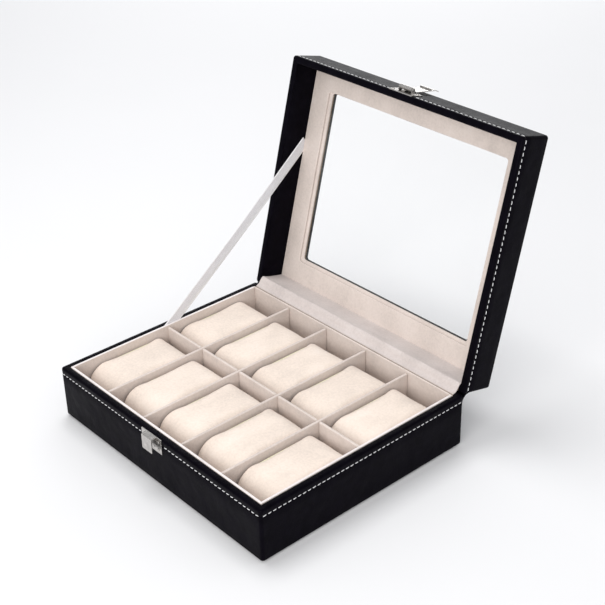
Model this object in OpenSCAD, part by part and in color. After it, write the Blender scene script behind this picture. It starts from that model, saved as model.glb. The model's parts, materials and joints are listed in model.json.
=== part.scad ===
// Watch box for ten watches: a leather-covered case with a windowed lid, velvet
// lining, crossed dividers, ten lift-out pillows, a ribbon stay and a front latch.
// Millimetres. Origin at the centre of the underside, +X right, +Y to the hinge,
// +Z up. The box is drawn open, as far as the ribbon lets the lid go.

/* [Box] */
// Outer width of the box, left to right
body_w = 250; // [240:1:260]
// Outer depth of the box, front to back
body_d = 205; // [198:1:214]
// Height of the base, underside to rim
base_h = 46.5; // [45:0.5:50]
// Height of the lid, rim to top
lid_h = 31; // [29:0.5:34]
// Outer radius of the upright corners
corner_r = 2.5; // [2:0.1:4]
// How far the lid is open, where the ribbon stops it at 104.5
lid_open = 104.5; // [0:0.5:104.5]

/* [Walls] */
// Thickness of the leather skin
leather_t = 0.8; // [0.6:0.1:1]
// Thickness of the boards in the walls
board_t = 4.2; // [4:0.1:4.6]
// Thickness of the board under the floor
bottom_t = 4; // [3:0.5:5]
// Thickness of the velvet-covered lining cards
lining_t = 1.6; // [1.4:0.1:2]
// Thickness of the felt under the box
felt_t = 1; // [0.8:0.1:1.5]

/* [Window] */
// Width of the window opening in the lid's top
window_w = 192.6; // [184:0.2:194]
// Depth of the window opening in the lid's top
window_d = 149.6; // [142:0.2:151]
// How far the window sits forward of the lid centre
window_forward = 1.4; // [0:0.1:2]
// Width of the opening in the lid lining
lining_hole_w = 199.6; // [197:0.2:202]
// Depth of the opening in the lid lining
lining_hole_d = 153.8; // [152.8:0.2:156]
// How far the opening in the lid lining sits forward of the lid centre
lining_hole_forward = 0.4; // [0:0.1:0.8]
// Thickness of the clear pane
pane_t = 0.8; // [0.8:0.1:1.2]

/* [Compartments] */
// Thickness of the velvet-covered dividers
divider_t = 2.4; // [2:0.1:3]
// How far the divider tops lie under the rim
divider_drop = 1.6; // [1:0.1:4]

/* [Pillows] */
// Width of a pillow, left to right
pillow_w = 43.2; // [40:0.1:43.6]
// Depth of a pillow, front to back
pillow_d = 78; // [76:0.5:82]
// Height of a pillow
pillow_h = 33.4; // [30:0.2:34]
// Radius of the pillow's front roll
pillow_front_r = 18; // [12:0.5:20]
// Radius of the pillow's back edge
pillow_back_r = 9; // [7:0.5:12]
// Thickness of the padded pillow cover
cover_t = 1.6; // [1.2:0.1:2]

/* [Latch] */
// Width of the nailed plates
plate_w = 24.5; // [23:0.5:28]
// Height of the nailed plates
plate_h = 13; // [12.5:0.1:13.2]
// Thickness of the latch sheet metal
metal_t = 0.8; // [0.6:0.1:0.8]
// Width of the catch tongue and of the lever
tongue_w = 12.3; // [11:0.1:12.6]
// How far the tongue stands out from the front
tongue_out = 5.4; // [5:0.1:5.4]
// Height of the lever pin above the lid rim
pin_up = 8; // [7.8:0.1:8.4]
// Distance of the lever pin from the front
pin_out = 3.6; // [3.4:0.1:3.6]
// Radius of the lever pin
pin_r = 0.9; // [0.8:0.05:0.95]
// How far the lever is folded back, where 0 is latched
lever_open = 176; // [0:1:176]
// Length of the lever from its pin to the end of its finger grip
lever_l = 31; // [28:0.5:32]

/* [Ribbon] */
// Width of the ribbon stay
ribbon_w = 10; // [8:0.5:12]
// Where the ribbon leaves the base, from the centre towards the hinge
ribbon_base_y = 4.5; // [0:0.5:10]
// Where the ribbon meets the lid lining, from the centre towards the front
ribbon_lid_y = 27; // [20:0.5:30]

/* [Hidden] */
$fn = 48;
columns = 5;

leather_color = [0.05, 0.05, 0.06];
board_color = [0.55, 0.42, 0.30];
velvet_color = [0.82, 0.78, 0.74];
pillow_color = [0.95, 0.90, 0.83];
foam_color = [0.90, 0.88, 0.70];
nickel_color = [0.80, 0.79, 0.77];
thread_color = [0.93, 0.93, 0.93];

rim_gap = 0.3;
board_in = leather_t + board_t;
wall_t = board_in + leather_t;
board_z = felt_t + leather_t;
floor_z = board_z + bottom_t;
lining_z = floor_z + lining_t;
turn_in = 15;
inner_w = body_w - 2 * (wall_t + lining_t);
inner_d = body_d - 2 * (wall_t + lining_t);
divider_top = base_h - divider_drop;
lap_z = (lining_z + divider_top) / 2;
lap_gap = 0.1;
slot_w = (inner_w - (columns - 1) * divider_t) / columns;
slot_d = (inner_d - divider_t) / 2;

lid_z = base_h + rim_gap;
lid_top = lid_z + lid_h;
axis_y = body_d / 2;
axis_z = base_h + rim_gap / 2;
frame_t = 1.7;
retainer_t = 2;
panel_t = 1;
frame_z = lid_top - leather_t - frame_t;
pane_z = frame_z - pane_t;
retainer_z = pane_z - retainer_t;
panel_z = retainer_z - panel_t;
window_r = 2.5;
pane_lap = 5.5;
pane_gap = 0.2;
retainer_back = 0.5;
fit_gap = 0.1;
cut = 1;

hinge_w = body_w - 2 * wall_t - 0.4;
hinge_reach = 12;
hinge_clear = 1.5;
skirt = 15;

stitch_drop = 5.5;
lid_stitch_up = 4;
stitch_h = 0.6;
stitch_out = 0.25;
stitch_inset = 3;

catch_top = base_h - 0.2;
catch_z = catch_top - plate_h;
hasp_z = lid_z + 0.7;
pin_z = lid_z + pin_up;
nail_x = 8.6;
hasp_nail_x = 10.2;
nail_rows = [3.2, 9.8];
nail_r = 0.55;
nail_deep = 3.4;
nail_gap = 0.05;
pin_gap = 0.05;
barrel_r = 1.8;
ear_gap = 0.3;
ear_t = 0.8;
ear_r = 1.6;
lever_clear = 0.3;
crank_v = 4.6;
grip_bend = 4;
grip_flare = 1.2;
lip_gap = 0.4;
lip_in = 1.1;

pillow_gaps = [10.6, 3];
pillow_lift_gap = 0.3;
low_front_r = 11;
low_back_r = 6;

lid_axis = [0, axis_y, axis_z];
pin_axis = [0, -body_d / 2 - pin_out, pin_z];

// ---- outlines and placing ----

// A rectangle about the origin with round corners.
module round_rect(w, d, r) {
    square([w - 2 * r, d], center = true);
    square([w, d - 2 * r], center = true);
    for (sx = [-1, 1], sy = [-1, 1])
        translate([sx * (w / 2 - r), sy * (d / 2 - r)]) circle(r);
}

// The box outline, drawn in from the outside by inset.
module outline(inset) {
    round_rect(body_w - 2 * inset, body_d - 2 * inset, max(corner_r - inset, 0.4));
}

// A ring that follows the box outline between two insets, from z0 to z1.
module ring(outside, inside, z0, z1) {
    translate([0, 0, z0]) linear_extrude(z1 - z0) difference() {
        outline(outside);
        outline(inside);
    }
}

// A block that spans the hinge's width, from y0 to y1 and z0 to z1.
module hinge_block(y0, y1, z0, z1) {
    translate([-hinge_w / 2, y0, z0]) cube([hinge_w, y1 - y0, z1 - z0]);
}

// A strip t thick over the flat of the back's leather, from z0 to z1.
module back_strip(t, z0, z1) {
    flat_w = body_w - 2 * corner_r;
    translate([-flat_w / 2, axis_y - leather_t, z0]) cube([flat_w, t, z1 - z0]);
}

// Extrudes an outline drawn in y and z along x, about the middle of the box.
module across(width) {
    translate([-width / 2, 0, 0]) rotate([90, 0, 90]) linear_extrude(width) children();
}

// Turns closed lid parts to where the lid stands open.
module on_lid() {
    translate(lid_axis) rotate([-lid_open, 0, 0]) translate(-lid_axis) children();
}

// Turns the latched lever to where it is folded back.
module on_pin() {
    translate(pin_axis) rotate([-lever_open, 0, 0]) translate(-pin_axis) children();
}

// ---- walls of the base and the lid ----

// The front or back board, side -1 or 1, from z0 to z1.
module long_board(side, z0, z1) {
    color(board_color) intersection() {
        translate([0, 0, z0]) linear_extrude(z1 - z0) outline(leather_t);
        translate([-body_w / 2, side * (body_d / 2 - board_t / 2 - leather_t) - board_t / 2, z0])
            cube([body_w, board_t, z1 - z0]);
    }
}

// The left or right board, side -1 or 1, between the long ones.
module end_board(side, z0, z1) {
    x = side * (body_w / 2 - leather_t - board_t / 2);
    color(board_color) translate([x - board_t / 2, -body_d / 2 + board_in, z0])
        cube([board_t, body_d - 2 * board_in, z1 - z0]);
}

// Rows of nail shanks, or of their holes, through a plate whose foot is at z.
module nail_shanks(x, z, r) {
    for (sx = [-1, 1], up = nail_rows)
        translate([sx * x, -body_d / 2 + nail_deep, z + up]) rotate([90, 0, 0])
            cylinder(r = r, h = nail_deep + metal_t);
}

// Nails with low round heads.
module nails(x, z) {
    color(nickel_color) {
        nail_shanks(x, z, nail_r);
        for (sx = [-1, 1], up = nail_rows)
            translate([sx * x, -body_d / 2 - metal_t, z + up]) rotate([90, 0, 0]) {
                cylinder(r = 1.1, h = 0.3);
                translate([0, 0, 0.3]) cylinder(r1 = 1.1, r2 = 0.5, h = 0.3);
            }
    }
}

// A thread line along the front and both ends, parted where a latch plate sits.
module thread_line(z) {
    end_l = body_d - 2 * stitch_inset;
    front_l = (body_w - plate_w) / 2 - stitch_inset - 1;
    color(thread_color) {
        for (sx = [-1, 1]) {
            translate([sx * (body_w / 2 + stitch_out / 2), 0, z])
                cube([stitch_out, end_l, stitch_h], center = true);
            translate([sx * (plate_w / 2 + 1 + front_l / 2), -body_d / 2 - stitch_out / 2, z])
                cube([front_l, stitch_out, stitch_h], center = true);
        }
    }
}

// ---- base ----

module bottom_felt() {
    color([0.08, 0.08, 0.09]) linear_extrude(felt_t)
        round_rect(body_w - 6, body_d - 6, corner_r);
}

module bottom_board() {
    color(board_color) translate([0, 0, board_z]) linear_extrude(bottom_t) outline(leather_t);
}

module base_front_board() {
    difference() {
        long_board(-1, floor_z, base_h - leather_t);
        nail_shanks(nail_x, catch_z, nail_r + nail_gap);
    }
}

module base_back_board() {
    long_board(1, floor_z, base_h - leather_t);
}

module base_left_board() {
    end_board(-1, floor_z, base_h - leather_t);
}

module base_right_board() {
    end_board(1, floor_z, base_h - leather_t);
}

// Outer skin, turned over the rim, down the inside and in under the bottom.
module base_leather() {
    color(leather_color) difference() {
        union() {
            ring(0, leather_t, felt_t, base_h);
            ring(leather_t / 2, wall_t, base_h - leather_t, base_h);
            ring(board_in, wall_t, floor_z, base_h);
            ring(leather_t / 2, turn_in, felt_t, board_z);
        }
        back_strip(leather_t + cut, base_h - hinge_reach, base_h + 1);
        hinge_block(axis_y - wall_t - 1, axis_y + 1, base_h - leather_t, base_h + 1);
        hinge_block(axis_y - wall_t - 1, axis_y - board_in, base_h - skirt, base_h + 1);
        nail_shanks(nail_x, catch_z, nail_r + nail_gap);
    }
}

module base_stitching() {
    thread_line(base_h - stitch_drop);
}

module floor_lining() {
    color(velvet_color) translate([-body_w / 2 + wall_t, -body_d / 2 + wall_t, floor_z])
        cube([body_w - 2 * wall_t, body_d - 2 * wall_t, lining_t]);
}

// A lining card along the front or back, side -1 or 1.
module long_lining(side) {
    color(velvet_color)
        translate([0, side * (inner_d + lining_t) / 2, (lining_z + base_h) / 2])
            cube([inner_w + 2 * lining_t, lining_t, base_h - lining_z], center = true);
}

// A lining card at the left or right end, side -1 or 1.
module end_lining(side) {
    color(velvet_color)
        translate([side * (inner_w + lining_t) / 2, 0, (lining_z + base_h) / 2])
            cube([lining_t, inner_d, base_h - lining_z], center = true);
}

// The divider that runs left to right, with half-lap slots cut down from its top.
module long_divider() {
    color(velvet_color) difference() {
        translate([-inner_w / 2, -divider_t / 2, lining_z])
            cube([inner_w, divider_t, divider_top - lining_z]);
        for (i = [1 : columns - 1])
            translate([divider_x(i) - divider_t / 2 - lap_gap, -divider_t, lap_z])
                cube([divider_t + 2 * lap_gap, 2 * divider_t, base_h]);
    }
}

// Where the middle of a cross divider lies.
function divider_x(i) = -inner_w / 2 + i * (slot_w + divider_t) - divider_t / 2;

// A divider that runs front to back, with a half-lap slot cut up from its foot.
module cross_divider(i) {
    color(velvet_color) difference() {
        translate([divider_x(i) - divider_t / 2, -inner_d / 2, lining_z])
            cube([divider_t, inner_d, divider_top - lining_z]);
        translate([divider_x(i) - divider_t, -divider_t / 2 - lap_gap, 0])
            cube([2 * divider_t, divider_t + 2 * lap_gap, lap_z]);
    }
}

// Nailed plate with a tongue folded out from its top and down in front of it.
module catch_plate() {
    front = -body_d / 2;
    bend = 1.4;
    color(nickel_color) difference() {
        union() {
            across(plate_w) translate([front - metal_t, catch_z]) square([metal_t, plate_h]);
            across(tongue_w) difference() {
                union() {
                    translate([front - tongue_out, catch_z])
                        square([tongue_out, plate_h - bend]);
                    translate([front - tongue_out + bend, catch_z])
                        square([tongue_out - bend, plate_h]);
                    translate([front - tongue_out + bend, catch_top - bend]) circle(bend);
                }
                translate([front - tongue_out + metal_t, catch_z - 1])
                    square([tongue_out - 2 * metal_t, plate_h + 1 - metal_t]);
            }
        }
        nail_shanks(nail_x, catch_z, nail_r + nail_gap);
        nail_shanks(tongue_w / 2 - 2.6, catch_z + 0.6, nail_r);
    }
}

module catch_nails() {
    nails(nail_x, catch_z);
}

// Velvet over the back rim of the base, with a skirt tucked behind the lining.
module base_hinge_velvet() {
    color(velvet_color) {
        hinge_block(axis_y - wall_t, axis_y - hinge_clear, base_h - leather_t, base_h);
        hinge_block(axis_y - wall_t, axis_y - board_in, base_h - skirt, base_h - leather_t);
    }
}

module base_hinge_leather() {
    color(leather_color) back_strip(
        leather_t, base_h - hinge_reach, axis_z - hinge_clear);
}

// ---- lid, drawn closed ----

module lid_frame_board() {
    color(board_color) difference() {
        translate([0, 0, frame_z]) linear_extrude(frame_t) outline(leather_t);
        window_hole(leather_t, frame_z - 1, lid_top);
    }
}

// The window opening, made larger all round by grow, from z0 to z1.
module window_hole(grow, z0, z1) {
    translate([0, -window_forward, z0]) linear_extrude(z1 - z0)
        round_rect(window_w + 2 * grow, window_d + 2 * grow, window_r);
}

module lid_front_board() {
    difference() {
        long_board(-1, lid_z + leather_t, frame_z);
        nail_shanks(hasp_nail_x, hasp_z, nail_r + nail_gap);
    }
}

module lid_back_board() {
    long_board(1, lid_z + leather_t, frame_z);
}

module lid_left_board() {
    end_board(-1, lid_z + leather_t, frame_z);
}

module lid_right_board() {
    end_board(1, lid_z + leather_t, frame_z);
}

// Outer skin with the window cut in its top, turned over the rim and inside.
module lid_leather() {
    color(leather_color) difference() {
        union() {
            ring(0, leather_t, lid_z, lid_top);
            translate([0, 0, lid_top - leather_t]) linear_extrude(leather_t)
                outline(leather_t / 2);
            ring(leather_t / 2, wall_t, lid_z, lid_z + leather_t);
            ring(board_in, wall_t, lid_z, frame_z);
            difference() {
                window_hole(leather_t, frame_z, lid_top - leather_t / 2);
                window_hole(0, frame_z - 1, lid_top);
            }
        }
        window_hole(0, frame_z - 1, lid_top + 1);
        back_strip(leather_t + cut, lid_z - 1, lid_z + hinge_reach);
        hinge_block(axis_y - wall_t - 1, axis_y + 1, lid_z - 1, lid_z + leather_t);
        hinge_block(axis_y - wall_t - 1, axis_y - board_in, lid_z - 1, panel_z);
        nail_shanks(hasp_nail_x, hasp_z, nail_r + nail_gap);
    }
}

module lid_stitching() {
    thread_line(lid_z + lid_stitch_up);
}

// The outline of what fits between the lid's inner skins.
module lid_inside() {
    square([body_w - 2 * (wall_t + fit_gap), body_d - 2 * (wall_t + fit_gap)], center = true);
}

module pane_outline(grow) {
    translate([0, -window_forward])
        square([window_w + 2 * (pane_lap + grow), window_d + 2 * (pane_lap + grow)], center = true);
}

module window_pane() {
    color([0.85, 0.92, 0.92, 0.3]) translate([0, 0, pane_z])
        linear_extrude(pane_t) pane_outline(0);
}

// Velvet-faced ring that holds the pane against the frame board.
module pane_retainer() {
    color(velvet_color) difference() {
        translate([0, 0, retainer_z]) linear_extrude(retainer_t + pane_t) lid_inside();
        window_hole(retainer_back, retainer_z - 1, lid_top);
        translate([0, 0, pane_z]) linear_extrude(pane_t + 1) pane_outline(pane_gap);
    }
}

module lid_lining_panel() {
    color(velvet_color) difference() {
        translate([0, 0, panel_z]) linear_extrude(panel_t) lid_inside();
        translate([0, -lining_hole_forward, panel_z - 1]) linear_extrude(panel_t + 2)
            round_rect(lining_hole_w, lining_hole_d, window_r);
    }
}

// Velvet over the back rim of the lid and down its back wall to the lining panel.
module lid_hinge_velvet() {
    color(velvet_color) {
        hinge_block(axis_y - wall_t, axis_y - hinge_clear, lid_z, lid_z + leather_t);
        hinge_block(axis_y - wall_t, axis_y - board_in, lid_z + leather_t, panel_z);
    }
}

module lid_hinge_leather() {
    color(leather_color) back_strip(
        leather_t, axis_z + hinge_clear, lid_z + hinge_reach);
}

// ---- latch on the lid, drawn closed and latched ----

// Nailed plate with two ears that hold the pin.
module hasp_plate() {
    ear_x = tongue_w / 2 + ear_gap;
    color(nickel_color) difference() {
        union() {
            across(plate_w) translate([-body_d / 2 - metal_t, hasp_z]) square([metal_t, plate_h]);
            for (x = [-ear_x - ear_t, ear_x])
                translate([x + ear_t / 2, 0, 0]) across(ear_t) {
                    translate([-body_d / 2 - pin_out, pin_z]) circle(ear_r);
                    translate([-body_d / 2 - pin_out, pin_z - ear_r])
                        square([pin_out, 2 * ear_r]);
                }
        }
        nail_shanks(hasp_nail_x, hasp_z, nail_r + nail_gap);
        translate(pin_axis) rotate([0, 90, 0])
            cylinder(r = pin_r + pin_gap, h = plate_w, center = true);
    }
}

module hasp_nails() {
    nails(hasp_nail_x, hasp_z);
}

module hasp_pin() {
    span = tongue_w + 2 * (ear_gap + ear_t) + 0.2;
    color(nickel_color) translate(pin_axis) rotate([0, 90, 0]) {
        cylinder(r = pin_r, h = span, center = true);
        for (sx = [-1, 1])
            translate([0, 0, sx * (span / 2 + 0.2)]) cylinder(r = 1.3, h = 0.4, center = true);
    }
}

// Lever whose barrel turns on the pin, cranked out past the tongue, with a lip
// that hooks in under the tongue's foot and a flared finger grip below.
module hasp_lever() {
    in_u = tongue_out + lever_clear - pin_out;
    out_u = in_u + metal_t;
    foot_v = pin_z - catch_z + lip_gap;
    end_v = foot_v + metal_t;
    color(nickel_color) translate(pin_axis) difference() {
        across(tongue_w) {
            circle(barrel_r);
            polygon([
                [-barrel_r, 0], [-out_u, -crank_v], [-out_u, grip_bend - lever_l],
                [-out_u - grip_flare, -lever_l], [-in_u - grip_flare, -lever_l],
                [-in_u, grip_bend - lever_l], [-in_u, -end_v], [-in_u + lip_in, -end_v],
                [-in_u + lip_in, -foot_v], [-in_u, -foot_v], [-in_u, -crank_v], [-0.6, -1.6]
            ]);
        }
        rotate([0, 90, 0]) cylinder(r = pin_r + pin_gap, h = plate_w, center = true);
    }
}

// ---- ribbon stay ----

ribbon_x = -body_w / 2 + wall_t + 0.1;
ribbon_t = 0.3;
ribbon_base = [ribbon_base_y, base_h];
ribbon_lid = lid_point(-ribbon_lid_y, panel_z);

// A point of the closed lid's y and z, turned to where the lid stands.
function lid_point(y, z) = [
    axis_y + (y - axis_y) * cos(lid_open) + (z - axis_z) * sin(lid_open),
    axis_z - (y - axis_y) * sin(lid_open) + (z - axis_z) * cos(lid_open)
];

// Taut strip from the base lining's top to the lid lining.
module ribbon_stay() {
    run = ribbon_lid - ribbon_base;
    slope = atan2(run.y, run.x);
    color([0.92, 0.92, 0.95]) translate([ribbon_x + ribbon_t / 2, 0, 0]) across(ribbon_t)
        intersection() {
            translate(ribbon_base) rotate(slope) translate([-20, -ribbon_w / 2])
                square([norm(run) + 40, ribbon_w]);
            translate([-body_d, base_h + 0.2]) square([3 * body_d, 3 * body_d]);
            translate([axis_y, axis_z]) rotate(-lid_open) translate([-2 * body_d, -body_d])
                square([4 * body_d, panel_z - axis_z - 0.2 + body_d]);
        }
}

// ---- pillows ----

// Side view of a pillow, drawn in from the outside by inset, front at y = 0.
module pillow_outline(inset) {
    a = inset;
    b = pillow_d - inset;
    top = pillow_h - inset;
    rf = pillow_front_r - inset;
    rb = pillow_back_r - inset;
    rl = low_front_r - inset;
    rk = low_back_r - inset;
    intersection() {
        translate([a, a]) square([b - a, top - a]);
        union() {
            polygon([
                [a + rl, a], [b - rk, a], [b, a + rk], [b, top - rb],
                [b - rb, top], [a + rf, top], [a, top - rf], [a, a + rl]
            ]);
            translate([a + rf, top - rf]) circle(rf);
            translate([b - rb, top - rb]) circle(rb);
            translate([a + rl, a + rl]) circle(rl);
            translate([b - rk, a + rk]) circle(rk);
        }
    }
}

// Puts a pillow's parts in compartment n: 1 to 5 in front, 6 to 10 behind.
module in_slot(n) {
    column = (n - 1) % columns;
    row = floor((n - 1) / columns);
    x = -inner_w / 2 + slot_w / 2 + column * (slot_w + divider_t);
    y = -inner_d / 2 + row * (slot_d + divider_t) + pillow_gaps[row];
    translate([x, y, lining_z + pillow_lift_gap]) children();
}

module pillow_cover(n) {
    color(pillow_color) in_slot(n) difference() {
        across(pillow_w) pillow_outline(0);
        across(pillow_w - 2 * cover_t) pillow_outline(cover_t);
    }
}

module pillow_core(n) {
    inset = cover_t + fit_gap;
    color(foam_color) in_slot(n) across(pillow_w - 2 * inset) pillow_outline(inset);
}

bottom_felt();
bottom_board();
base_front_board();
base_back_board();
base_left_board();
base_right_board();
base_leather();
base_stitching();
floor_lining();
long_lining(-1);  // front_lining
long_lining(1);  // back_lining
end_lining(-1);  // left_lining
end_lining(1);  // right_lining
long_divider();
for (i = [1 : columns - 1])
    cross_divider(i);
catch_plate();
catch_nails();
base_hinge_velvet();
base_hinge_leather();
ribbon_stay();
on_lid() lid_frame_board();
on_lid() lid_front_board();
on_lid() lid_back_board();
on_lid() lid_left_board();
on_lid() lid_right_board();
on_lid() lid_leather();
on_lid() lid_stitching();
on_lid() window_pane();
on_lid() pane_retainer();
on_lid() lid_lining_panel();
on_lid() lid_hinge_velvet();
on_lid() lid_hinge_leather();
on_lid() hasp_plate();
on_lid() hasp_nails();
on_lid() hasp_pin();
on_lid() on_pin() hasp_lever();
for (n = [1 : 2 * columns]) {
    pillow_cover(n);
    pillow_core(n);
}
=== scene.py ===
import json
import math
import random

import bmesh
import bpy
from mathutils import Matrix, Vector, noise


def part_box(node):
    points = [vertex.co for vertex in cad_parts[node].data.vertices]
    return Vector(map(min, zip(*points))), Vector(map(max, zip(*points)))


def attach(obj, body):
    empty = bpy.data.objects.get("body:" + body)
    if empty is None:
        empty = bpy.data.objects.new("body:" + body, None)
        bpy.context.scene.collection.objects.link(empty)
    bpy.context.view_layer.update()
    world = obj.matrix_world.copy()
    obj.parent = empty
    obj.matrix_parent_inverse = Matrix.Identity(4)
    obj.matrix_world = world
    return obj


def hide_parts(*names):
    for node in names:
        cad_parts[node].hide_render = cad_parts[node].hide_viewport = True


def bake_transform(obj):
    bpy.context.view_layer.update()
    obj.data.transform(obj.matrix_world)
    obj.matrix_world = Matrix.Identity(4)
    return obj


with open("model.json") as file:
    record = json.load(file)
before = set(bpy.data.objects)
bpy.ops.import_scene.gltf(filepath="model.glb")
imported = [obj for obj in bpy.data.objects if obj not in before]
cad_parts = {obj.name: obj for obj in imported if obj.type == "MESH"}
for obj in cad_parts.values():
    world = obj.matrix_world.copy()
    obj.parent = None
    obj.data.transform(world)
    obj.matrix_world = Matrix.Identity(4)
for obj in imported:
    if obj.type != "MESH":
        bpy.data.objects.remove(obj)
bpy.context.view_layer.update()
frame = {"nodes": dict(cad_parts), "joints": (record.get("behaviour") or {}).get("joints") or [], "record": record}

MM = 0.001
nodes = frame["nodes"]
joints = {j["name"]: j for j in frame["joints"]}


def put_in_scene(name, data):
    """A new object that shows the data, linked to the scene."""
    obj = bpy.data.objects.new(name, data)
    bpy.context.scene.collection.objects.link(obj)
    return obj


# -------- camera

CAMERA_AZIMUTH = math.radians(48.98)
CAMERA_ELEVATION = math.radians(30.01)
CAMERA_ROLL = math.radians(-1.37)
CAMERA_DISTANCE = 1.0216
CAMERA_TARGET = Vector((-0.0016, 0.0503, 0.0970))
CAMERA_LENS = 76.79


def make_camera():
    """The camera, seen from the front right and a little above."""
    flat = math.cos(CAMERA_ELEVATION)
    back = Vector((
        math.sin(CAMERA_AZIMUTH) * flat,
        -math.cos(CAMERA_AZIMUTH) * flat,
        math.sin(CAMERA_ELEVATION),
    ))
    right = Vector((math.cos(CAMERA_AZIMUTH), math.sin(CAMERA_AZIMUTH), 0))
    up = back.cross(right)
    turn = Matrix.Rotation(CAMERA_ROLL, 3, back)
    basis = Matrix((turn @ right, turn @ up, back)).transposed()
    data = bpy.data.cameras.new("camera")
    data.lens = CAMERA_LENS
    data.sensor_width = 36
    data.clip_start = 0.01
    data.clip_end = 50
    camera = put_in_scene("camera", data)
    camera.matrix_world = Matrix.Translation(CAMERA_TARGET + back * CAMERA_DISTANCE) @ basis.to_4x4()
    bpy.context.scene.camera = camera


make_camera()


# -------- measures from the frame

hinge = joints["lid_hinge"]
hinge_axis = Vector(hinge["pos_m"])
opened = -math.radians(hinge["range_deg"][0])
TO_OPEN = (
    Matrix.Translation(hinge_axis)
    @ Matrix.Rotation(-opened, 4, "X")
    @ Matrix.Translation(-hinge_axis)
)
TO_CLOSED = TO_OPEN.inverted()


def closed_box(node):
    """A lid node's lowest and highest corner with the lid turned shut."""
    points = [TO_CLOSED @ v.co for v in nodes[node].data.vertices]
    low = Vector([min(p[k] for p in points) for k in range(3)])
    high = Vector([max(p[k] for p in points) for k in range(3)])
    return low, high


base_low, base_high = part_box("base_leather")
HALF_W = base_high.x
HALF_D = base_high.y
RIM_Z = base_high.z
FOOT_Z = base_low.z
LINING_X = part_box("floor_lining")[1].x
LINING_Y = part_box("floor_lining")[1].y
WALL = HALF_W - LINING_X
BOARD_IN = HALF_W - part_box("base_right_board")[0].x
LEATHER = HALF_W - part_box("base_right_board")[1].x

LID_Z = closed_box("lid_leather")[0].z
LID_TOP = closed_box("lid_leather")[1].z
FRAME_Z = closed_box("lid_frame_board")[0].z
PANEL_Z = closed_box("lid_lining_panel")[0].z
RETAINER_Z = closed_box("pane_retainer")[0].z
PANE_Z = closed_box("window_pane")[0].z

CORNER_R = 2.5 * MM
WINDOW_R = 2.5 * MM
LEAST_R = 0.5 * MM
RIM_CLEAR = (10 * MM, 8 * MM)
SIDE_TURN_IN = 0.7 * MM


def opening(node):
    """Half width, half depth and middle y of the opening in a lid node's inner face.

    Points less than RIM_CLEAR inside the linings belong to the node's outer edge.
    """
    points = [TO_CLOSED @ v.co for v in nodes[node].data.vertices]
    face_z = min(p.z for p in points) + 0.1 * MM
    points = [p for p in points if p.z < face_z]
    reach_x = LINING_X - RIM_CLEAR[0]
    reach_y = LINING_Y - RIM_CLEAR[1]
    near = [p for p in points if abs(p.x) < reach_x and abs(p.y) < reach_y]
    xs = [p.x for p in near]
    ys = [p.y for p in near]
    return (max(xs) - min(xs)) / 2, (max(ys) - min(ys)) / 2, (max(ys) + min(ys)) / 2


def narrower(hole, sides):
    """An opening with each side edge moved in by sides."""
    return hole[0] - sides, hole[1], hole[2]


OPENINGS = {
    "lining": opening("lid_lining_panel"),
    "retainer": opening("pane_retainer"),
    "window": narrower(opening("lid_frame_board"), SIDE_TURN_IN),
}


# -------- node materials

def new_material(name, color, roughness, metallic=0.0, **sockets):
    """A Principled material with its even values set on the shader's own sockets."""
    mat = bpy.data.materials.new(name)
    mat.use_nodes = True
    shader = mat.node_tree.nodes["Principled BSDF"]
    shader.inputs["Base Color"].default_value = (*color, 1)
    shader.inputs["Roughness"].default_value = roughness
    shader.inputs["Metallic"].default_value = metallic
    for socket, value in sockets.items():
        shader.inputs[socket.replace("_", " ")].default_value = value
    mat.diffuse_color = (*color, 1)
    return mat


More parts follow.
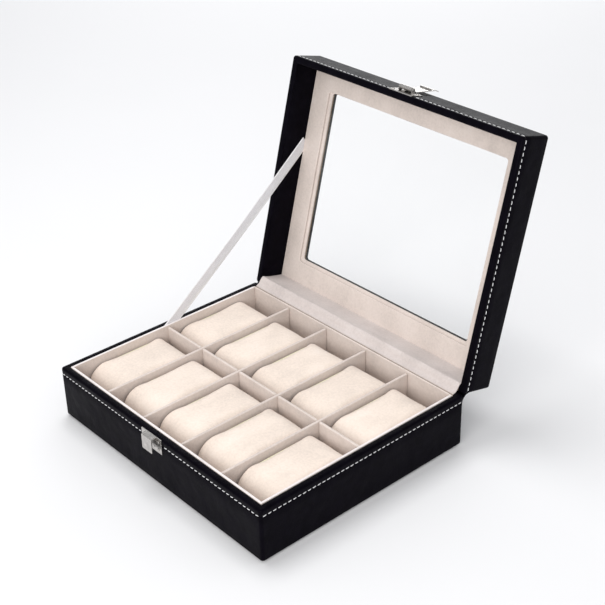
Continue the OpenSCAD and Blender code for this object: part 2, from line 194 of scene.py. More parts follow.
class Nodes:
    """Short calls for building one material's node tree."""

    def __init__(self, mat):
        self.tree = mat.node_tree
        self.shader = self.tree.nodes["Principled BSDF"]
        self.place = self.tree.nodes.new("ShaderNodeTexCoord").outputs["Object"]

    def add(self, kind, **settings):
        node = self.tree.nodes.new(kind)
        for key, value in settings.items():
            setattr(node, key, value)
        return node

    def link(self, a, b):
        self.tree.links.new(a, b)

    def stretched(self, scale):
        """The object's coordinates, scaled on each axis."""
        mapping = self.add("ShaderNodeMapping")
        mapping.inputs["Scale"].default_value = scale
        self.link(self.place, mapping.inputs["Vector"])
        return mapping.outputs["Vector"]

    def noise(self, scale, detail=3.0, rough=0.55, place=None):
        node = self.add("ShaderNodeTexNoise")
        node.inputs["Scale"].default_value = scale
        node.inputs["Detail"].default_value = detail
        node.inputs["Roughness"].default_value = rough
        self.link(place or self.place, node.inputs["Vector"])
        return node.outputs["Fac"]

    def cells(self, scale, feature="F1"):
        node = self.add("ShaderNodeTexVoronoi", feature=feature)
        node.inputs["Scale"].default_value = scale
        self.link(self.place, node.inputs["Vector"])
        return node.outputs["Distance"]

    def spread(self, value, low, high, out_low, out_high):
        """A value from low to high, turned into one from out_low to out_high."""
        node = self.add("ShaderNodeMapRange")
        limits = {"From Min": low, "From Max": high, "To Min": out_low, "To Max": out_high}
        for socket, number in limits.items():
            node.inputs[socket].default_value = number
        self.link(value, node.inputs["Value"])
        return node.outputs["Result"]

    def maths(self, operation, a, b=0.0):
        node = self.add("ShaderNodeMath", operation=operation)
        for socket, value in zip(node.inputs, (a, b)):
            if isinstance(value, (int, float)):
                socket.default_value = value
            else:
                self.link(value, socket)
        return node.outputs[0]

    def ramp(self, value, stops):
        node = self.add("ShaderNodeValToRGB")
        while len(node.color_ramp.elements) < len(stops):
            node.color_ramp.elements.new(0.5)
        for element, (at, color) in zip(node.color_ramp.elements, stops):
            element.position = at
            element.color = (*color, 1)
        self.link(value, node.inputs["Fac"])
        return node.outputs["Color"]

    def darker(self, color, where, amount):
        """The colour, darkened by up to amount where the value is 1."""
        node = self.add("ShaderNodeHueSaturation")
        self.link(color, node.inputs["Color"])
        self.link(self.spread(where, 0.0, 1.0, 1.0, 1.0 - amount), node.inputs["Value"])
        return node.outputs["Color"]

    def bump(self, height, distance, strength=1.0, under=None):
        """A bumped normal; distance is in metres, and under is the normal it adds to."""
        node = self.add("ShaderNodeBump")
        node.inputs["Distance"].default_value = distance
        node.inputs["Strength"].default_value = strength
        self.link(height, node.inputs["Height"])
        if under is not None:
            self.link(under, node.inputs["Normal"])
        return node.outputs["Normal"]

    def finish(self, color=None, roughness=None, normal=None, alpha=None):
        """Links the made values to the shader; None leaves the socket's own value."""
        made = {"Base Color": color, "Roughness": roughness, "Normal": normal, "Alpha": alpha}
        for socket, value in made.items():
            if value is not None:
                self.link(value, self.shader.inputs[socket])


# the attribute that carries the painted shadow along the pillows' end seams
PAINTED_SEAM_SHADOW = "painted_seam_shadow"


def shade(color, factor):
    """The colour made darker or lighter by a factor."""
    return tuple(min(1.0, c * factor) for c in color)


def leather_material():
    """Smooth black leather with a fine pebble grain and soft, long ripples."""
    color = (0.0021, 0.0017, 0.0034)
    mat = new_material("black_leather", color, 0.33, Specular_IOR_Level=0.028,
                       Specular_Tint=(0.88, 0.80, 1.0, 1.0))
    n = Nodes(mat)
    pebble = n.cells(850, "SMOOTH_F1")
    pores = n.noise(2600, 4)
    ripple = n.noise(38, 2)
    tone = n.ramp(n.noise(120, 5), [(0.3, shade(color, 0.7)), (0.7, shade(color, 1.5))])
    wear = n.maths("ADD", n.noise(60, 3), n.maths("MULTIPLY", pebble, 0.4))
    rough = n.spread(wear, 0.3, 1.0, 0.27, 0.42)
    coarse = n.bump(ripple, 0.0011)
    grain = n.bump(pebble, 0.00016, 0.55, coarse)
    n.finish(tone, rough, n.bump(pores, 0.00005, 0.6, grain))
    return mat


def velvet_material(name, color, warm, sheen, seam=False):
    """Short-pile velvet: brushed patches, fine fibres, a soft edge glow and, if asked, a painted shadow that
    darkens the end seams.
    """
    mat = new_material(name, color, 0.92, Specular_IOR_Level=0.12, Sheen_Weight=sheen,
                       Sheen_Roughness=0.42)
    n = Nodes(mat)
    nap = n.noise(42, 3, 0.5, n.stretched((1.0, 0.55, 0.8)))
    fibre = n.noise(2400, 4, 0.7)
    tuft = n.noise(520, 3, 0.6)
    pile = n.maths("ADD", n.maths("MULTIPLY", fibre, 0.2), n.maths("MULTIPLY", tuft, 0.35))
    both = n.maths("ADD", n.maths("MULTIPLY", nap, 0.45), pile)
    tone = n.ramp(both, [(0.34, shade(color, 0.84)), (0.52, color), (0.68, warm)])
    if seam:
        # painted shadow: darkens the seam rings to stand in for the shade in the gap beside the pillow
        seam_shadow = n.add("ShaderNodeAttribute", attribute_name=PAINTED_SEAM_SHADOW)
        tone = n.darker(tone, seam_shadow.outputs["Fac"], 0.72)
    raised = n.bump(fibre, 0.00022, 0.55, n.bump(nap, 0.0012, 0.5))
    n.finish(tone, n.spread(nap, 0.3, 0.7, 0.84, 0.97), raised)
    return mat


def nickel_material():
    """Bright nickel plate with hairline scratches and faint tarnish."""
    color = (0.60, 0.575, 0.55)
    mat = new_material("nickel", color, 0.20, 1.0)
    n = Nodes(mat)
    hair = n.noise(900, 3, 0.6, n.stretched((1.0, 1.0, 14.0)))
    cloud = n.noise(260, 4)
    tone = n.ramp(cloud, [(0.32, shade(color, 0.78)), (0.6, color), (0.8, shade(color, 1.1))])
    n.finish(tone, n.spread(hair, 0.3, 0.75, 0.16, 0.34), n.bump(hair, 0.00002, 0.5))
    return mat


def pane_material():
    """Clear plastic pane with the faintest haze."""
    mat = new_material("clear_pane", (0.93, 0.97, 0.96), 0.05, IOR=1.46)
    n = Nodes(mat)
    haze = n.noise(14, 3)
    n.finish(roughness=n.spread(haze, 0.3, 0.7, 0.03, 0.09), alpha=n.spread(haze, 0.3, 0.8, 0.02, 0.05))
    return mat


def board_material():
    """Raw fibreboard: pressed chips and dust."""
    color = (0.34, 0.23, 0.14)
    mat = new_material("board", color, 0.85)
    n = Nodes(mat)
    chips = n.noise(420, 5, 0.65, n.stretched((1.0, 1.0, 0.5)))
    tone = n.ramp(chips, [(0.3, shade(color, 0.65)), (0.55, color), (0.8, shade(color, 1.4))])
    n.finish(tone, None, n.bump(chips, 0.0002, 0.6))
    return mat


def felt_material():
    """Black pressed felt under the box."""
    color = (0.018, 0.018, 0.02)
    mat = new_material("black_felt", color, 0.95, Sheen_Weight=0.25, Specular_IOR_Level=0.1)
    n = Nodes(mat)
    fluff = n.noise(1400, 5, 0.75)
    tone = n.ramp(fluff, [(0.35, shade(color, 0.6)), (0.7, shade(color, 1.7))])
    n.finish(tone, None, n.bump(fluff, 0.0004, 0.8))
    return mat


def thread_material():
    """White twisted thread."""
    color = (0.88, 0.88, 0.89)
    mat = new_material("white_thread", color, 0.7, Sheen_Weight=0.2)
    n = Nodes(mat)
    twist = n.noise(3000, 3)
    tone = n.ramp(twist, [(0.3, shade(color, 0.78)), (0.6, color)])
    n.finish(tone, None, n.bump(twist, 0.00008, 0.6))
    return mat


def foam_material():
    """Open-cell foam inside the pillows, with painted shade in its pores."""
    color = (0.80, 0.76, 0.56)
    mat = new_material("pillow_foam", color, 0.95)
    n = Nodes(mat)
    holes = n.cells(700)
    # painted shade: the colour is darkest in the pore hollows that the bump sinks
    tone = n.ramp(holes, [(0.0, shade(color, 0.5)), (0.35, color)])
    n.finish(tone, None, n.bump(holes, 0.0004, 0.8))
    return mat


def ribbon_material():
    """Sheer ribbon: satin selvedges and a see-through woven middle."""
    color = (0.90, 0.90, 0.93)
    mat = new_material("white_ribbon", color, 0.42, Sheen_Weight=0.35, Specular_IOR_Level=0.4)
    n = Nodes(mat)
    uv = n.add("ShaderNodeTexCoord").outputs["UV"]
    split = n.add("ShaderNodeSeparateXYZ")
    n.link(uv, split.inputs["Vector"])
    edge = n.maths("ABSOLUTE", n.maths("SUBTRACT", split.outputs["X"], 0.5))
    satin = n.spread(edge, 0.36, 0.41, 0.0, 1.0)
    weft = n.maths("SINE", n.maths("MULTIPLY", split.outputs["Y"], 3600.0))
    warp = n.maths("SINE", n.maths("MULTIPLY", split.outputs["X"], 170.0))
    weave = n.spread(n.maths("MAXIMUM", weft, warp), -0.6, 0.9, 0.60, 0.94)
    cover = n.maths("MAXIMUM", weave, satin)
    tone = n.ramp(satin, [(0.0, shade(color, 0.92)), (1.0, (0.95, 0.95, 0.97))])
    n.finish(tone, None, n.bump(weft, 0.00004, 0.5), cover)
    return mat


BEIGE, WARM_BEIGE = (0.70, 0.615, 0.565), (0.76, 0.68, 0.635)
# paler beige: a painted highlight for the lining card tops
LIT_TOP_BEIGE, WARM_LIT_TOP_BEIGE = (0.86, 0.80, 0.79), (0.92, 0.86, 0.86)
# darker beige: painted shade for the velvet over the hinge
SHADED_BEIGE, WARM_SHADED_BEIGE = (0.62, 0.555, 0.53), (0.70, 0.64, 0.62)
CREAM, WARM_CREAM = (0.86, 0.745, 0.655), (0.92, 0.82, 0.74)

MATERIALS = {
    "black_leather": leather_material(),
    "beige_velvet": velvet_material("beige_velvet", BEIGE, WARM_BEIGE, sheen=0.30),
    # a paler copy of the beige velvet, a painted highlight for the lining tops
    "lit_top_velvet": velvet_material("lit_top_velvet", LIT_TOP_BEIGE, WARM_LIT_TOP_BEIGE, sheen=0.35),
    # a darker copy of the beige velvet, shown on the hinge velvet as painted shade
    "hinge_velvet": velvet_material("hinge_velvet", SHADED_BEIGE, WARM_SHADED_BEIGE, sheen=0.30),
    # cream velvet with the painted shadow along the pillows' end seams
    "cream_velvet": velvet_material("cream_velvet", CREAM, WARM_CREAM, sheen=0.22, seam=True),
    "nickel": nickel_material(),
    "clear_pane": pane_material(),
    "board": board_material(),
    "black_felt": felt_material(),
    "white_thread": thread_material(),
    "pillow_foam": foam_material(),
    "white_ribbon": ribbon_material(),
}


# -------- mesh helpers

def add_piece(name, points, faces, material, sharp=math.radians(38), look=None):
    """A new mesh object in the shared frame, smooth except where it turns sharply.

    The material names the record's slot; look names another material to show instead.
    """
    mesh = bpy.data.meshes.new(name)
    mesh.from_pydata([tuple(p) for p in points], [], faces)
    mesh.validate()
    work = bmesh.new()
    work.from_mesh(mesh)
    bmesh.ops.recalc_face_normals(work, faces=work.faces)
    work.to_mesh(mesh)
    work.free()
    mesh.shade_smooth()
    if sharp is not None:
        mesh.set_sharp_from_angle(angle=sharp)
    mesh.materials.append(MATERIALS[look or material])
    obj = put_in_scene(name, mesh)
    return obj


def tube_faces(rings, count, closed_way=True):
    """Quads that join each ring of count points to the next, and if closed the last to the first."""
    faces = []
    last = rings if closed_way else rings - 1
    for i in range(last):
        a = i * count
        b = ((i + 1) % rings) * count
        for k in range(count):
            m = (k + 1) % count
            faces.append((a + k, a + m, b + m, b + k))
    return faces


def end_caps(first, last, count):
    """The two polygons that close a tube, given the first point of each of its end rings."""
    return [tuple(first + k for k in range(count))[::-1], tuple(last + k for k in range(count))]


def arc(cx, cz, r, start, end, steps):
    """Points on an arc, angles in degrees."""
    turns = [math.radians(start + (end - start) * i / steps) for i in range(steps + 1)]
    return [(cx + r * math.cos(a), cz + r * math.sin(a)) for a in turns]


LONG_STOPS = 44
SHORT_STOPS = 34
CORNER_STEPS = 6
VELVET_END = 118.5 * MM
STOP_REACH = 118.65 * MM
STOP_PAIR = 0.35 * MM


def stops(reach, count):
    """Places along a straight side from -1 to 1, with a close pair near each end."""
    near = 1 - STOP_PAIR / reach
    inside = [-near + 2 * near * i / count for i in range(count + 1)]
    return [-1.0, *inside, 1.0]


LONG_AT = stops(STOP_REACH, LONG_STOPS)
SHORT_AT = stops(STOP_REACH, SHORT_STOPS)


def outline(half_x, half_y, r, z, cy=0.0):
    """Points anticlockwise round a rectangle with round corners; every outline has as many."""
    sx = min(half_x - r, STOP_REACH)
    sy = min(half_y - r, HALF_D - CORNER_R)
    points = []
    corners = ((1, -1, -90), (1, 1, 0), (-1, 1, 90), (-1, -1, 180))
    sides = (
        [(t * sx, -half_y) for t in LONG_AT],
        [(half_x, t * sy) for t in SHORT_AT],
        [(-t * sx, half_y) for t in LONG_AT],
        [(-half_x, -t * sy) for t in SHORT_AT],
    )
    for side, (cx_sign, cy_sign, start) in zip(sides, corners):
        points += side
        cx = cx_sign * (half_x - r)
        corner_y = cy_sign * (half_y - r)
        for i in range(CORNER_STEPS + 1):
            a = math.radians(start + 90 * i / CORNER_STEPS)
            points.append((cx + r * math.cos(a), corner_y + r * math.sin(a)))
    return [Vector((x, y + cy, z)) for x, y in points]


def wall_outline(inset, z):
    """The box outline drawn in from the outside by inset."""
    return outline(HALF_W - inset, HALF_D - inset, max(CORNER_R - inset, LEAST_R), z)


def window_outline(hole, grow, z):
    """One of the lid's openings, made larger all round by grow."""
    half_x, half_y, middle = OPENINGS[hole]
    return outline(half_x + grow, half_y + grow, WINDOW_R, z, middle)


def lid_loft(name, profile, material, node, move=None):
    """A closed ring round the lid, drawn with the lid shut and then turned open.

    Each profile point is (family, offset, z): the family is "wall", for an offset inwards from the
    lid's outside, or one of the openings, for an offset outwards from its edge.
    """
    points = []
    for family, offset, z in profile:
        ring = wall_outline(offset, z) if family == "wall" else window_outline(family, offset, z)
        points += [TO_OPEN @ (move(p) if move else p) for p in ring]
    count = len(points) // len(profile)
    obj = add_piece(name, points, tube_faces(len(profile), count), material)
    return finish_piece(obj, "lid", node)


def finish_piece(obj, body, *replaced):
    """The piece rides a body and stands in for CAD nodes."""
    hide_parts(*replaced)
    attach(obj, body)
    return obj


# -------- leather wraps

RIM_OUT_R = 1.7 * MM
RIM_IN_R = 1.2 * MM
HINGE_REACH = 12 * MM
SKIRT = 15 * MM
STITCH_DROP = 5.5 * MM
STITCH_UP = 4 * MM
GROOVE = 0.28 * MM
TURN_IN = 15 * MM
RIM_CROWN = 0.04 * MM
RIM_TUCK = 0.95 * MM
SKIN_SINK = 0.05 * MM
TOUCH = 0.1 * MM
UNEVEN = 0.07 * MM
UNEVEN_SIZE = 0.045


def groove(z):
    """The shallow channel that the stitches lie in, as (inset, z) along a wall."""
    return [(0, z - 0.9 * MM), (0.6 * GROOVE, z - 0.45 * MM), (GROOVE, z),
            (0.6 * GROOVE, z + 0.45 * MM), (0, z + 0.9 * MM)]


def base_wrap():
    """Leather round the base: outer skin, round rim, inner skin and the turn-in below."""
    top = RIM_Z
    foot_r = 1.8 * MM
    outer = [(TURN_IN, FOOT_Z), (8 * MM, FOOT_Z), (foot_r, FOOT_Z)]
    outer += arc(foot_r, FOOT_Z + foot_r, foot_r, 250, 180, 5)
    outer += [(0, FOOT_Z + f * (top - FOOT_Z)) for f in (0.12, 0.3, 0.5, 0.7)]
    outer += groove(top - STITCH_DROP)
    outer += [(0, top - RIM_OUT_R - 1.4 * MM)]
    outer += arc(RIM_OUT_R, top - RIM_OUT_R, RIM_OUT_R, 180, 90, 6)
    outer += [(WALL / 2, top + RIM_CROWN)]
    outer += arc(WALL - RIM_IN_R, top - RIM_IN_R, RIM_IN_R, 90, 0, 5)
    outer += [(WALL, top - 8 * MM), (WALL, top - SKIRT)]
    inner = [(BOARD_IN, top - SKIRT), (BOARD_IN, top - LEATHER), (LEATHER, top - LEATHER),
             (LEATHER, FOOT_Z + LEATHER), (TURN_IN, FOOT_Z + LEATHER)]
    profile = outer + inner
    points = []
    for inset, z in profile:
        points += [tuck_base(p) for p in wall_outline(inset, z)]
    count = len(points) // len(profile)
    obj = add_piece("base_leather_wrap", points, tube_faces(len(profile), count), "black_leather")
    return finish_piece(obj, "base", "base_leather")


def tuck_base(p):
    """Lowers the back rim under the velvet and sets the back skin in under the hinge leather."""
    if p.y > HALF_D - WALL - TOUCH and abs(p.x) < VELVET_END:
        p.z = min(p.z, RIM_Z - RIM_TUCK)
        p.y = max(p.y, HALF_D - BOARD_IN - TOUCH)
    return soften(set_in_back(p, p.z > RIM_Z - HINGE_REACH))


def set_in_back(p, near_hinge):
    """Moves a point of the outer back face in, so that the hinge leather lies over it."""
    if near_hinge and p.y > HALF_D - LEATHER and abs(p.x) < HALF_W - CORNER_R + TOUCH:
        p.y = HALF_D - LEATHER - SKIN_SINK
    return p


def soften(p):
    """The slight unevenness of leather stretched over board; it depends only on the place."""
    p.x += UNEVEN * noise.noise(Vector((p.y, p.z, p.x)) / UNEVEN_SIZE)
    p.y += UNEVEN * noise.noise(Vector((p.x + 1, p.z, p.y)) / UNEVEN_SIZE)
    return p


def on_wall(points):
    """Lid profile points measured in from the outside."""
    return [("wall", inset, z) for inset, z in points]


def lid_wrap():
    """Leather round the lid: inner skin, rim, outer skin, top and the turned-in window edge."""
    edge_r = 2.0 * MM
    window_edge_r = 1.3 * MM
    low = LID_Z
    profile = on_wall([(WALL, FRAME_Z), (WALL, (FRAME_Z + low) / 2)])
    profile += on_wall(arc(WALL - RIM_IN_R, low + RIM_IN_R, RIM_IN_R, 0, -90, 5))
    profile += on_wall([(WALL / 2, low - RIM_CROWN)])
    profile += on_wall(arc(RIM_OUT_R, low + RIM_OUT_R, RIM_OUT_R, 270, 180, 6))
    profile += on_wall(groove(low + STITCH_UP))
    profile += on_wall([(0, low + f * (LID_TOP - low)) for f in (0.35, 0.55, 0.75)])
    profile += on_wall(arc(edge_r, LID_TOP - edge_r, edge_r, 180, 90, 6))
    profile += on_wall([(6 * MM, LID_TOP)])
    board = -LEATHER
    profile += [("window", board + 10 * MM, LID_TOP), ("window", board + 3 * MM, LID_TOP)]
    turn = arc(-window_edge_r, LID_TOP - window_edge_r, window_edge_r, 90, 0, 5)
    profile += [("window", board - s, z) for s, z in turn]
    profile += [("window", board, FRAME_Z + 0.02 * MM), ("window", 0, FRAME_Z + 0.02 * MM)]
    profile += [("window", 0, LID_TOP - LEATHER)]
    profile += on_wall([(LEATHER, LID_TOP - LEATHER), (LEATHER, low + LEATHER)])
    profile += on_wall([(BOARD_IN, low + LEATHER), (BOARD_IN, FRAME_Z)])
    return lid_loft("lid_leather_wrap", profile, "black_leather", "lid_leather", tuck_lid)


def tuck_lid(p):
    """Raises the back rim over the velvet and sets the back skin in under the hinge leather."""
    if p.y > HALF_D - WALL - TOUCH and abs(p.x) < VELVET_END and p.z < FRAME_Z + 0.01 * MM:
        p.z = max(p.z, LID_Z + RIM_TUCK)
        if p.z < PANEL_Z:
            p.y = max(p.y, HALF_D - BOARD_IN - TOUCH)
    return soften(set_in_back(p, p.z < LID_Z + HINGE_REACH))


# -------- hinge strips

BEND_REACH = 7.5 * MM
LEATHER_STOPS = (12.1, 11, 9.5, 8.4)
RIPPLE_SIZE = 0.03
RIPPLE_STEP = 0.22


def open_yz(y, z):
    """A point of the closed lid's y and z, where it is with the lid open."""
    p = TO_OPEN @ Vector((0, y, z))
    return Vector((p.y, p.z))


def strip_piece(name, outer, thickness, half_x, steps, material, ripple, corner=None, look=None):
    """A strip along x whose side view follows outer, thickened to the right of its path.

    The ripple fades out at the path's two ends; corner gives how far a point near x's ends draws in.
    """
    path = [Vector(p) for p in outer]
    under = []
    for i, p in enumerate(path):
        way = (path[min(i + 1, len(path) - 1)] - path[max(i - 1, 0)]).normalized()
        under.append(p + Vector((way.y, -way.x)) * thickness)
    loop = path + under[::-1]
    points = []
    for k in range(steps + 1):
        x = half_x * (2 * k / steps - 1)
        for i, p in enumerate(loop):
            j = i if i < len(path) else 2 * len(path) - 1 - i
            free = math.sin(math.pi * j / (len(path) - 1)) ** 0.7
            lift = free * ripple * noise.noise(Vector((x / RIPPLE_SIZE, j * RIPPLE_STEP, 3.7)))
            drawn = corner(x, j / (len(path) - 1)) if corner else Vector((0, 0))
            points.append(Vector((x, p.x + lift * 0.4 + drawn.x, p.y + lift + drawn.y)))
    count = len(loop)
    faces = tube_faces(steps + 1, count, closed_way=False)
    faces += cap_strip(0, len(path), False)
    faces += cap_strip(steps * count, len(path), True)
    return add_piece(name, points, faces, material, look=look)


def cap_strip(first, length, flip):
    """Closes a strip's end with a row of quads between its two sides."""
    faces = []
    for i in range(length - 1):
        face = (first + i, first + i + 1, first + 2 * length - 2 - i, first + 2 * length - 1 - i)
        faces.append(face[::-1] if flip else face)
    return faces


def smooth_path(points, steps):
    """A Catmull-Rom curve through the points."""
    path = [Vector(p) for p in points]
    path = [path[0] * 2 - path[1], *path, path[-1] * 2 - path[-2]]
    out = []
    for i in range(1, len(path) - 2):
        a, b, c, d = path[i - 1:i + 3]
        for k in range(steps):
            t = k / steps
            out.append(0.5 * ((2 * b) + (c - a) * t + (2 * a - 5 * b + 4 * c - d) * t * t
                              + (3 * b - a - 3 * c + d) * t ** 3))
    out.append(path[-2])
    return out


def round_the_corner(x, along):
    """How far the hinge leather draws in past the back corners; along runs from the lid to the base."""
    past = abs(x) - (HALF_W - CORNER_R)
    if past <= 0:
        return Vector((0, 0))
    depth = CORNER_R - math.sqrt(max(CORNER_R ** 2 - past ** 2, 0))
    at_lid = open_yz(HALF_D - depth, LID_TOP) - open_yz(HALF_D, LID_TOP)
    return at_lid.lerp(Vector((-depth, 0)), along)


def angle_about(middle, p):
    """The way from the middle to a point, in radians from 0 to a full turn."""
    return math.atan2(p.y - middle.y, p.x - middle.x) % (2 * math.pi)


def hinge_leather():
    """Outer leather that bends from the base's back to the lid's back in a soft fillet."""
    corner = Vector((hinge_axis.y, hinge_axis.z))
    down = Vector((0, -1))
    out = (open_yz(HALF_D, LID_TOP) - corner).normalized()
    half = down.angle(out) / 2
    r = BEND_REACH * math.tan(half)
    middle = corner + (down + out).normalized() * (r / math.sin(half))
    path = [corner + down * s * MM for s in LEATHER_STOPS]
    start = angle_about(middle, corner + down * BEND_REACH)
    end = angle_about(middle, corner + out * BEND_REACH)
    steps = 14
    for i in range(steps + 1):
        a = start + (end - start) * i / steps
        path.append(middle + Vector((math.cos(a), math.sin(a))) * r)
    path += [corner + out * s * MM for s in LEATHER_STOPS[::-1]]
    obj = strip_piece("hinge_leather_strip", path[::-1], LEATHER, HALF_W - 0.6 * MM, 120,
                      "black_leather", 0.10 * MM, round_the_corner)
    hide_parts("base_hinge_leather", "lid_hinge_leather")
    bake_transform(obj)


def hinge_velvet():
    """Velvet from behind the base's back lining, over the rims, to the lid's lining panel."""
    y = HALF_D - WALL
    over_base = (1.05, -3), (1.10, -0.6), (1.55, 0.15), (2.8, 0.6), (4.8, 2.1), (6.3, 4.1)
    over_lid = (-0.9, 1.2), (-0.8, 3.5), (-0.35, 8), (-0.3, 14), (-0.35, 20)
    at_panel = (-0.5, -0.9), (-0.8, 0.3)
    path = [(y + a * MM, RIM_Z + b * MM) for a, b in over_base]
    path += [open_yz(y + a * MM, LID_Z + b * MM) for a, b in over_lid]
    path += [open_yz(y + a * MM, PANEL_Z + b * MM) for a, b in at_panel]
    # the strip shows the darker hinge_velvet copy of the beige velvet: painted shade
    obj = strip_piece("hinge_velvet_strip", smooth_path(path, 5), 0.7 * MM, VELVET_END, 110,
                      "beige_velvet", 0.30 * MM, look="hinge_velvet")
    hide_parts("base_hinge_velvet", "lid_hinge_velvet")
    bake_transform(obj)


# -------- linings and dividers

LINING_ROUND = 0.70 * MM
LINING_LIP = 0.45 * MM
LINING_PAD = 0.45 * MM
BACK_LIP = 0.1 * MM
DIVIDER_ROUND = 0.95 * MM


def soft_card(name, outline_points, axis, low, high, radius, node, lit_top=False):
    """A velvet-covered card: an outline pushed from low to high along x or y, with round edges; when asked, its
    top faces are painted paler as a highlight.
    """
    edge_z = max(z for _, z in outline_points) - 0.5 * radius
    work = bmesh.new()

    def place(a, b, along):
        return (along, a, b) if axis == "x" else (a, along, b)

    bottom = [work.verts.new(place(a, b, low)) for a, b in outline_points]
    face = work.faces.new(bottom)
    made = bmesh.ops.extrude_face_region(work, geom=[face])
    moved = [g for g in made["geom"] if isinstance(g, bmesh.types.BMVert)]
    bmesh.ops.translate(work, verts=moved, vec=Vector(place(0, 0, high - low)))
    bmesh.ops.recalc_face_normals(work, faces=work.faces)
    bmesh.ops.bevel(work, geom=list(work.edges), offset=radius, segments=4, profile=0.5, affect="EDGES")
    mesh = bpy.data.meshes.new(name)
    work.to_mesh(mesh)
    work.free()
    mesh.shade_smooth()
    mesh.set_sharp_from_angle(angle=math.radians(50))
    mesh.materials.append(MATERIALS["beige_velvet"])
    # the second material is a paler copy of the velvet: a painted highlight on the card tops
    mesh.materials.append(MATERIALS["lit_top_velvet"])
    for face in mesh.polygons:
        if lit_top and face.center.z > edge_z:
            face.material_index = 1
    obj = put_in_scene(name, mesh)
    weighted = obj.modifiers.new("even_normals", "WEIGHTED_NORMAL")
    weighted.keep_sharp = True
    return finish_piece(obj, "base", node)


def rectangle(a0, a1, b0, b1):
    return [(a0, b0), (a1, b0), (a1, b1), (a0, b1)]


def base_linings():
    """Four cards round the inside; all but the back one are padded, with a paler velvet on their tops over the rim
    as a painted highlight.
    """
    sides = {"front_lining": "y", "back_lining": "y", "left_lining": "x", "right_lining": "x"}
    for node, side in sides.items():
        low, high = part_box(node)
        hidden_top = node == "back_lining"
        lip = BACK_LIP if hidden_top else LINING_LIP
        padding = 0.0 if hidden_top else LINING_PAD
        across, along = (low.y, high.y), (low.x, high.x)
        if side == "x":
            across, along = along, across
        inner = min(across, key=abs)
        outer = max(across, key=abs)
        inner -= math.copysign(padding, inner)
        shape = rectangle(along[0], along[1], low.z, high.z + lip)
        near, far = sorted((inner, outer))
        soft_card(node + "_card", shape, side, near, far, LINING_ROUND, node, not hidden_top)


def divider_cards():
    """Crossed dividers, halved into each other where they meet."""
    r = DIVIDER_ROUND
    gap = 0.35 * MM
    crosses = [f"cross_divider_{i}" for i in range(1, 5)]
    low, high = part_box("long_divider")
    lap = (low.z + high.z) / 2
    top = [(high.x - gap, high.z)]
    for node in crosses[::-1]:
        c0, c1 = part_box(node)
        top += [(c1.x + gap, high.z), (c1.x + gap, lap), (c0.x - gap, lap), (c0.x - gap, high.z)]
    shape = [(low.x + gap, low.z), (high.x - gap, low.z), *top, (low.x + gap, high.z)]
    soft_card("long_divider_card", shape, "y", low.y, high.y, r, "long_divider")
    for node in crosses:
        c0, c1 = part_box(node)
        shape = [
            (c0.y + gap, c0.z), (low.y - gap, c0.z), (low.y - gap, lap), (high.y + gap, lap),
            (high.y + gap, c0.z), (c1.y - gap, c0.z), (c1.y - gap, c1.z), (c0.y + gap, c1.z),
        ]
        soft_card(node + "_card", shape, "x", c0.x, c1.x, r, node)


# -------- lid lining and window frame

def lid_frames():
    """The velvet-faced panel and, set back behind a dark gap, the ring that holds the pane."""
    inside = WALL + 0.1 * MM
    edge = 0.45 * MM
    panel = [("wall", inside, RETAINER_Z), ("wall", inside, PANEL_Z + 0.25 * MM)]
    panel += [("wall", inside + 0.3 * MM, PANEL_Z), ("wall", 12 * MM, PANEL_Z - 0.05 * MM)]
    panel += [("lining", 4 * MM, PANEL_Z - 0.05 * MM)]
    panel += [("lining", -s, z) for s, z in arc(-edge, PANEL_Z + edge, edge, -90, 0, 5)]
    panel += [("lining", 0, RETAINER_Z), ("lining", 3 * MM, RETAINER_Z)]
    lid_loft("lid_lining_cover", panel, "beige_velvet", "lid_lining_panel")
    low = RETAINER_Z + 0.02 * MM
    face = RETAINER_Z + 0.6 * MM
    top = PANE_Z - 0.02 * MM
    edge = 0.5 * MM
    ring = [("wall", inside + 1 * MM, top), ("wall", inside + 1 * MM, low)]
    ring += [("lining", 2.6 * MM, low), ("lining", 1.6 * MM, face)]
    ring += [("retainer", -s, z) for s, z in arc(-edge, face + edge, edge, -90, 0, 4)]
    ring += [("retainer", 0, top), ("lining", 2.6 * MM, top)]
    lid_loft("pane_retainer_ring", ring, "beige_velvet", "pane_retainer")


# -------- stitching

PITCH = 4.6 * MM
STITCH_L = 3.35 * MM
THREAD_R = 0.32 * MM
STITCH_END = CORNER_R - 0.8 * MM


def stitch_path(z, plate_half):
    """(place, along, out) for each stitch along the left side, the front and the right side."""
    straight = HALF_D - STITCH_END
    count = round(2 * straight / PITCH)
    for i in range(count):
        y = straight - (i + 0.5) * 2 * straight / count
        yield Vector((-HALF_W, y, z)), Vector((0, -1, 0)), Vector((-1, 0, 0))
        yield Vector((HALF_W, y, z)), Vector((0, 1, 0)), Vector((1, 0, 0))
    straight = HALF_W - STITCH_END
    count = round(2 * straight / PITCH)
    for i in range(count):
        x = -straight + (i + 0.5) * 2 * straight / count
        if abs(x) > plate_half + STITCH_L / 2:
            yield Vector((x, -HALF_D, z)), Vector((1, 0, 0)), Vector((0, -1, 0))


